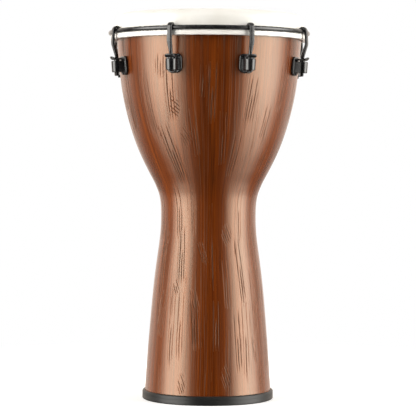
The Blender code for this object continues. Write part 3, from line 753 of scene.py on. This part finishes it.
def plate_mesh():
    """Rounded backplate, hollowed at the back to the shell's curve, with a soft front edge."""
    half, top, bottom = 12.75 * MM, 17.2 * MM, -12.8 * MM
    top_corner, bottom_corner = 6 * MM, 9.5 * MM
    thickness, bevel = 4 * MM, 1.5 * MM
    shell_radius = ROD_RADIUS - STAND_OFF

    def ring(inset, depth):
        """The plate's outline at a depth from its back, or on the hollow back itself if that is None."""
        side, high, low = half - inset, top - inset, bottom + inset
        outline = filleted([(side, high, top_corner - inset), (side, low, bottom_corner - inset),
                            (-side, low, bottom_corner - inset), (-side, high, top_corner - inset)], steps=8)
        loop = []
        for y, z in outline:
            curve = shell_radius - math.sqrt(shell_radius ** 2 - y * y)
            back = PLATE_BACK + z * LUG_SLOPE
            loop.append((back - curve if depth is None else back + depth - 0.35 * curve, y, z))
        return loop

    steps = [ring(0, None), ring(0, thickness - bevel)]
    steps += [ring(bevel * inset, thickness - bevel * rise) for rise, inset in EDGE_ROWS[1:]]
    return skinned("plate", steps)


def barrel_mesh():
    """Half round about the rod, wider at the top, running back into the plate."""
    low, high, bevel = -8.6 * MM, 9.3 * MM, 1.1 * MM
    low_radius, flare = 8.37 * MM, 0.6 * MM

    def loop(z, inset):
        radius = low_radius + flare * (z - low) / (high - low) - inset
        back = -STAND_OFF + 1.8 * MM
        bow = arc((0, 0), radius, -math.pi / 2, math.pi / 2, 32)
        return [(x, y, z) for x, y in [(back, -radius - 0.5 * MM)] + bow + [(back, radius + 0.5 * MM)]]

    loops = [loop(low + bevel * rise, bevel * inset) for rise, inset in reversed(EDGE_ROWS)]
    loops += [loop(high - bevel * rise, bevel * inset) for rise, inset in EDGE_ROWS]
    mesh = skinned("barrel", loops)
    mesh.transform(TILTED)
    return mesh


def boss_mesh(rise, dimple):
    """Round boss over a screw's thread. The lower one has the thread's end in its face."""
    radius, height, dimple_depth = 4.3 * MM, 6.6 * MM, 1.7 * MM
    outline = [(0, 1.5 * MM, 0), (radius + 0.4 * MM, 1.5 * MM, 0), (radius, height, 1.3 * MM)]
    if dimple:
        outline += [(2.1 * MM, height, 0.5 * MM), (1.8 * MM, height - dimple_depth, 0),
                    (0, height - dimple_depth, 0)]
    else:
        outline += [(0, height + 0.3 * MM, 0)]
    mesh = turned("boss", filleted(outline, False), 32)
    mesh.transform(wall_frame(rise))
    return mesh


def lug_mesh():
    """Casting: plate, barrel and bosses in one skin, bored for the nut, the rod and the grommet's sleeve."""
    far, recess, hole, sleeve = 34 * MM, 6.9 * MM, ROD / 2 + 0.6 * MM, 4.75 * MM
    bore = turned("bore", [(0, -far), (recess, -far), (recess, NUT_SEAT), (hole, NUT_SEAT), (hole, BUSH_SEAT),
                           (sleeve, BUSH_SEAT), (sleeve, far), (0, far)], 40)
    bore.transform(TILTED)
    upper, lower = boss_mesh(SCREW_RISES[0], False), boss_mesh(SCREW_RISES[1], True)
    mesh = carved(plate_mesh(), [barrel_mesh(), upper, lower], [bore], [
        ("REMESH", {"mode": "VOXEL", "voxel_size": 0.42 * MM, "use_smooth_shade": True}),
        ("SMOOTH", {"factor": 0.5, "iterations": 4}),
        ("DECIMATE", {"ratio": 0.42})])
    mesh.name = "lug"
    mesh.shade_smooth()
    return mesh


def grommet_mesh():
    """Bush whose flange stands on a short neck over the barrel. Its outer part turns up to a rounded lip."""
    seat, foot = 10.7 * MM + GAP, BUSH_SEAT + GAP
    sleeve, hole, thick, edge = 4.4 * MM, ROD / 2 + GAP, 2.8 * MM, 1.2 * MM
    front, half, flat = 10.2 * MM, 8.8 * MM, 5.0 * MM
    lip_ease, lip_rise = 1.2 * MM, math.tan(math.radians(35))

    def loop(z, radius=None, inset=0.0):
        """A round loop, or without a radius the flange's D shape, flat towards the shell."""
        def reach_at(angle):
            if radius is not None:
                return radius
            reach = oval(angle, front - inset, half - inset, 3.0)
            if math.cos(angle) < -1e-6:
                reach = min(reach, (-flat + inset) / math.cos(angle))
            return reach

        points = []
        for x, y in round_loop(56, reach_at):
            lift = max(0.0, x - sleeve)
            points.append((x, y, z + (lift * lift / (lift + lip_ease) * lip_rise if lift else 0.0)))
        return points

    loops = [loop(foot, hole + 0.3 * MM), loop(foot, sleeve), loop(seat, sleeve)]
    loops += [loop(seat + edge * rise, None, edge * inset) for rise, inset in reversed(EDGE_ROWS)]
    loops += [loop(seat + thick - edge * rise, None, edge * inset) for rise, inset in EDGE_ROWS]
    loops += [loop(seat + thick, hole + 1.6 * MM), loop(seat + thick - 0.5 * MM, hole + 0.6 * MM),
              loop(seat + thick - 1.2 * MM, hole)]
    mesh = skinned("grommet", loops, True, 55)
    mesh.transform(TILTED)
    return mesh


def nut_mesh():
    """Hex nut with chamfered corners and countersunk thread."""
    top, tall = NUT_SEAT - GAP, 5.5 * MM
    flats, hole = 10 * MM / 2, ROD / 2 + 0.05 * MM

    def loop(z, radius):
        """A hexagon, or the circle that cuts its corners where that is smaller."""
        def reach_at(angle):
            return min(radius, flats / math.cos((angle + math.pi / 6) % (math.pi / 3) - math.pi / 6))

        return [(x, y, z) for x, y in round_loop(72, reach_at)]

    face = flats * 0.95
    chamfer = [(k * 0.25 * MM, face + k * 0.25 * MM * 1.9) for k in range(5)]
    loops = [loop(top - tall + rise, out) for rise, out in chamfer]
    loops += [loop(top - rise, out) for rise, out in reversed(chamfer)]
    loops += [loop(top, hole + 0.5 * MM), loop(top - 0.5 * MM, hole),
              loop(top - tall + 0.5 * MM, hole), loop(top - tall, hole + 0.5 * MM)]
    mesh = skinned("nut", loops, True, 30)
    mesh.transform(TILTED)
    return mesh


def hook_line():
    """(point, way, width, thickness, squareness) along the hook, from its claw's tip to its thread."""
    ring = Vector((RING_RADIUS - ROD_RADIUS, RING_HEIGHT - LUG_HEIGHT))
    wide, thick, tip = 7.5 * MM, 4.2 * MM, 2.8 * MM
    grip = RING_ROD / 2 + GAP
    claw = []
    claw_turn, claw_steps = math.radians(190), 24
    for k in range(claw_steps + 1):
        share = k / claw_steps
        angle = claw_turn * (1 - share)
        thickness = tip + (thick - tip) * min(1.0, 2 * share)
        reach = grip + thickness / 2
        claw.append((ring + Vector((math.cos(angle), math.sin(angle))) * reach, thickness))
    lean = math.tan(TILT)
    start = claw[-1][0]
    upper_bend, lower_bend = 36.7 * MM, 17.7 * MM
    upper = Vector((start.x + 1.0 * MM, upper_bend))
    lower = Vector((lower_bend * lean, lower_bend))
    end = Vector((ROD_START * lean, ROD_START))
    path = filleted([(*start, 0), (*upper, 14 * MM), (*lower, 9 * MM), (*end, 0)], False, 8)
    line = [(point, thickness, 0.0) for point, thickness in claw]
    runs = [Vector(p) for p in path]
    for before, here in zip(runs, runs[1:]):
        parts = max(1, int((here - before).length / (1.5 * MM)))
        for k in range(1, parts + 1):
            point = before.lerp(here, k / parts)
            share = min(1.0, max(0.0, (upper.y - point.y) / (upper.y - lower.y)))
            line.append((point, thick, share))
    found = []
    for i, (point, thickness, share) in enumerate(line):
        way = (line[min(i + 1, len(line) - 1)][0] - line[max(i - 1, 0)][0]).normalized()
        ease = share * share * (3 - 2 * share)
        found.append((point, way, wide + (ROD - wide) * ease, thickness + (ROD - thickness) * ease,
                      5.0 - 3.0 * ease))
    return found


def hook_mesh(rod_below):
    """Flat bar curled over the ring, two bends, and a rod with its thread cut as a helix."""
    def loop(point, way, reach_at):
        across = Vector((way.y, -way.x))
        return [(point.x + across.x * out, side, point.y + across.y * out)
                for side, out in round_loop(32, reach_at)]

    line = hook_line()
    loops = []
    tip, way, wide, thick, square = line[0]
    for past, share in ((0.5 * MM, 0.72), (0.0, 0.9)):
        loops.append(loop(tip - way * past, way,
                          lambda a: oval(a, wide / 2 * share, thick / 2 * share, square)))
    for point, way, wide, thick, square in line:
        loops.append(loop(point, way, lambda a: oval(a, wide / 2, thick / 2, square)))
    start, way = line[-1][0], Vector((-math.sin(TILT), -math.cos(TILT)))
    total = (start.y + rod_below) / math.cos(TILT)
    row_gap, thread_depth, run_in, end_chamfer = 0.2 * MM, 0.55 * MM, 1.2 * MM, 0.8 * MM
    rows = int(total / row_gap)
    for row in range(1, rows + 1):
        s = total * row / rows
        from_end = total - s

        def threaded(angle):
            turn = (s / PITCH + angle / FULL_TURN) % 1.0
            crest = abs(2 * turn - 1)
            cut = thread_depth * min(1.0, max(0.0, 1.15 * crest - 0.08)) * min(1.0, s / run_in)
            chamfer = max(0.0, end_chamfer - from_end) * 0.9
            return max(ROD / 2 - 0.05 * MM - cut, 0) - max(0.0, chamfer - cut)

        loops.append(loop(start + way * s, way, threaded))
    return skinned("hook", loops, False, 50)


def screw_mesh():
    """Washer-head screw from inside the shell, with a cross recess."""
    seat = -SHELL_WALL - 0.8 * MM
    under, crown = seat - 1.2 * MM, seat - 3.8 * MM
    outline = filleted([
        (0, crown, 0), (3.4 * MM, crown, 0.9 * MM), (4.6 * MM, under - 0.6 * MM, 0.5 * MM),
        (4.7 * MM, under, 0.1 * MM), (6.5 * MM, under, 0.3 * MM), (6.5 * MM, seat, 0.2 * MM),
        (2.5 * MM, seat, 0), (2.5 * MM, 4.6 * MM, 0.4 * MM), (0, 4.6 * MM, 0)], False, 4)
    base = turned("lug_screw", outline, 40, 40)
    slots, first_turn = [], 0.3
    for turn in (0.0, math.pi / 2):
        bm = bmesh.new()
        bmesh.ops.create_cube(bm, size=1.0)
        for vert in bm.verts:
            deep = vert.co.z > 0
            vert.co = Vector((vert.co.x * (3.2 if deep else 5.0) * MM, vert.co.y * (0.7 if deep else 1.0) * MM,
                              crown + (1.7 * MM if deep else -0.5 * MM)))
        mesh = bpy.data.meshes.new("slot")
        bm.to_mesh(mesh)
        bm.free()
        mesh.transform(Matrix.Rotation(turn + first_turn, 4, "Z"))
        slots.append(mesh)
    mesh = carved(base, cut=slots)
    mesh.shade_smooth()
    mesh.set_sharp_from_angle(angle=math.radians(35))
    return mesh


def build_stations(black, cast, bush, nut_steel, screw_steel):
    """A lug, grommet, hook, nut and two screws at each station. Only the hooks' ends differ."""
    lug, grommet, nut, screw = lug_mesh(), grommet_mesh(), nut_mesh(), screw_mesh()
    for station in STATIONS:
        number = station["name"].rsplit("_", 1)[1]
        hook = hook_mesh(ROD_ENDS[int(number) - 1] * MM)
        x, y, z = station["pos_m"]
        here = Matrix.Translation((x, y, z)) @ Matrix.Rotation(math.atan2(y, x), 4, "Z")
        for name, mesh, material, body, slot, place in (
            ("lug", lug, cast, "drum", "lug_metal", here),
            ("lug_grommet", grommet, bush, "drum", "grommet", here),
            ("tuning_hook", hook, black, f"hook_{number}", "black_steel", here),
            ("tuning_nut", nut, nut_steel, f"nut_{number}", "nut_steel", here),
            ("lug_screw_upper", screw, screw_steel, "drum", "screw_steel", here @ wall_frame(SCREW_RISES[0])),
            ("lug_screw_lower", screw, screw_steel, "drum", "screw_steel", here @ wall_frame(SCREW_RISES[1])),
        ):
            own = mesh.copy()
            own.transform(place)
            piece(f"{name}_{number}_visual", own, material, body, slot, f"{name}_{number}")


def build_drum():
    """Every piece on its body, but the head film, which rides on none."""
    black = black_finish("black_powder_coat", (0.009, 0.009, 0.010), 0.24, 0.7 * MM, 0.015 * MM, 0.15)
    cast = black_finish("black_casting", (0.007, 0.007, 0.008), 0.18, 0.8 * MM, 0.02 * MM, 0.2)
    bush = black_finish("black_bush", (0.010, 0.010, 0.011), 0.28, 0.4 * MM, 0.01 * MM, 0.0)
    piece("shell_visual", shell_mesh(), [shell_finish(), inner_shell_finish()], "drum", "shell", "shell")
    piece("foot_ring_visual", foot_mesh(), rubber_finish(), "drum", "foot_rubber", "foot_ring")
    film = piece("head_film_visual", film_mesh(), film_finish(), None, "head_film", "head_film")
    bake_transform(film)
    piece("flesh_hoop_visual", hoop_mesh(), hoop_finish(), "head_hoop", "flesh_hoop", "flesh_hoop")
    piece("tension_ring_visual", ring_mesh(), black, "head_hoop", "black_steel", "tension_ring")
    build_stations(black, cast, bush, zinc_finish("zinc_nut", (0.62, 0.62, 0.60), 0.30),
                   zinc_finish("zinc_screw", (0.58, 0.57, 0.53), 0.36))


# Studio. Azimuths are in degrees round the drum from the camera's side.

FLOOR_RADIUS = 8.0
SIDE_BOXES = ((-65, 9, 37), (76, 9, 39))   # middle, full to either side, gone to either side
BOX_GLOW = 8.0
BOX_COLOUR = (1.0, 0.975, 0.925)
SWEEP_COLOUR = (1.0, 0.89, 0.79)
SWEEP_GLOW = 1.4
SWEEP_FADE = (92, 140)       # from nothing to the whole sweep
PALE = 0.80                  # how bright the surround is, to the camera, away from the white behind the drum
WHITE_FADE = (105, 145)      # from pale to white


def white_behind(n, azimuth):
    """How bright the surround is to the camera: pale, and white behind the drum."""
    return n.span(n.calc("ABSOLUTE", azimuth), *map(math.radians, WHITE_FADE), PALE, 1.0)


def build_floor():
    """A plain floor that fades into the surround. It neither lights the drum nor shows in its varnish."""
    bm = bmesh.new()
    bmesh.ops.create_circle(bm, cap_ends=True, segments=96, radius=FLOOR_RADIUS)
    mesh = bpy.data.meshes.new("floor")
    bm.to_mesh(mesh)
    bm.free()
    floor = bpy.data.objects.new("floor", mesh)
    bpy.context.scene.collection.objects.link(floor)
    f = Finish("white_floor", roughness=0.9, specular_ior_level=0.0)
    seen = f.node("ShaderNodeLightPath").outputs["Is Camera Ray"]
    f.feed(f.shader.inputs["Base Color"], f.mix(seen, (0.14, 0.14, 0.14), (0.80, 0.80, 0.80)))
    lift = f.node("ShaderNodeEmission", {"Strength": f.times(seen, 0.45)})
    near = f.node("ShaderNodeAddShader", {0: f.shader, 1: lift})
    x, y, _ = f.node("ShaderNodeSeparateXYZ", {"Vector": f.place()}).outputs
    azimuth = f.calc("ARCTAN2", x, f.times(y, -1.0))
    far = f.node("ShaderNodeEmission", {"Strength": white_behind(f, azimuth)})
    reach = f.node("ShaderNodeVectorMath", {0: f.place()}, operation="LENGTH").outputs["Value"]
    both = f.node("ShaderNodeMixShader", {0: f.span(reach, 0.35, 0.95), 1: near, 2: far})
    f.feed(f.tree.nodes["Material Output"].inputs["Surface"], both)
    mesh.materials.append(f.material)
    floor.visible_glossy = floor.visible_diffuse = False


def build_world():
    """To the camera, pale to white. To the drum, two tall soft boxes, a sweep behind it and a dark room."""
    world = bpy.data.worlds.new("studio")
    world.use_nodes = True
    bpy.context.scene.world = world
    n = Nodes(world.node_tree)
    n.tree.nodes.clear()

    def shine(colour, strength):
        return n.node("ShaderNodeBackground", {"Color": colour, "Strength": strength})

    place = n.node("ShaderNodeTexCoord").outputs["Generated"]
    x, y, z = n.node("ShaderNodeSeparateXYZ", {"Vector": place}).outputs
    azimuth = n.calc("ARCTAN2", x, n.times(y, -1.0))
    glow = 0.0
    for middle, full, gone in SIDE_BOXES:
        away = n.calc("ABSOLUTE", n.minus(azimuth, math.radians(middle)))
        glow = n.plus(n.span(away, math.radians(full), math.radians(gone), 1.0, 0.0), glow)
    tall = n.times(n.span(z, -0.90, -0.08, 0.10, 1.0), n.span(z, 0.46, 0.76, 1.0, 0.0))
    glow = n.times(n.times(glow, tall), BOX_GLOW)
    dim = n.plus(n.span(z, 0.70, 0.95, 0.0, 0.4), 0.01)      # overhead, and a trace all round
    sweep = n.span(n.calc("ABSOLUTE", azimuth), *map(math.radians, SWEEP_FADE), 0.0, SWEEP_GLOW)
    tall = n.times(n.span(z, -0.4, 0.0, 0.2, 1.0), n.span(z, 0.5, 0.9, 1.0, 0.3))
    sweep = n.times(sweep, tall)
    lit = n.node("ShaderNodeAddShader", {0: shine(BOX_COLOUR, n.plus(glow, dim)),
                                         1: shine(SWEEP_COLOUR, sweep)})
    to_camera = n.node("ShaderNodeLightPath").outputs["Is Camera Ray"]
    seen = n.node("ShaderNodeMixShader", {0: to_camera, 1: lit, 2: shine((1, 1, 1), white_behind(n, azimuth))})
    n.node("ShaderNodeOutputWorld", {"Surface": seen})


def build_camera():
    """A long lens 3 m off, a little over half the drum's height, tipped down and rolled as photographed."""
    data = bpy.data.cameras.new("camera")
    data.lens = 162.7
    data.sensor_width = 36
    data.clip_end = 50
    camera = bpy.data.objects.new("camera", data)
    bpy.context.scene.collection.objects.link(camera)
    tip, roll, round_drum = (math.radians(angle) for angle in (90 - 1.45, 0.25, -0.9))
    turn = Matrix.Rotation(tip, 4, "X") @ Matrix.Rotation(roll, 4, "Z")
    place = Matrix.Rotation(round_drum, 4, "Z") @ Matrix.Translation((-0.0007, -3.05, 0.386))
    camera.matrix_world = place @ turn
    bpy.context.scene.camera = camera


build_drum()
build_floor()
build_world()
build_camera()
bpy.context.scene.view_settings.view_transform = "Standard"
bpy.context.scene.view_settings.look = "None"
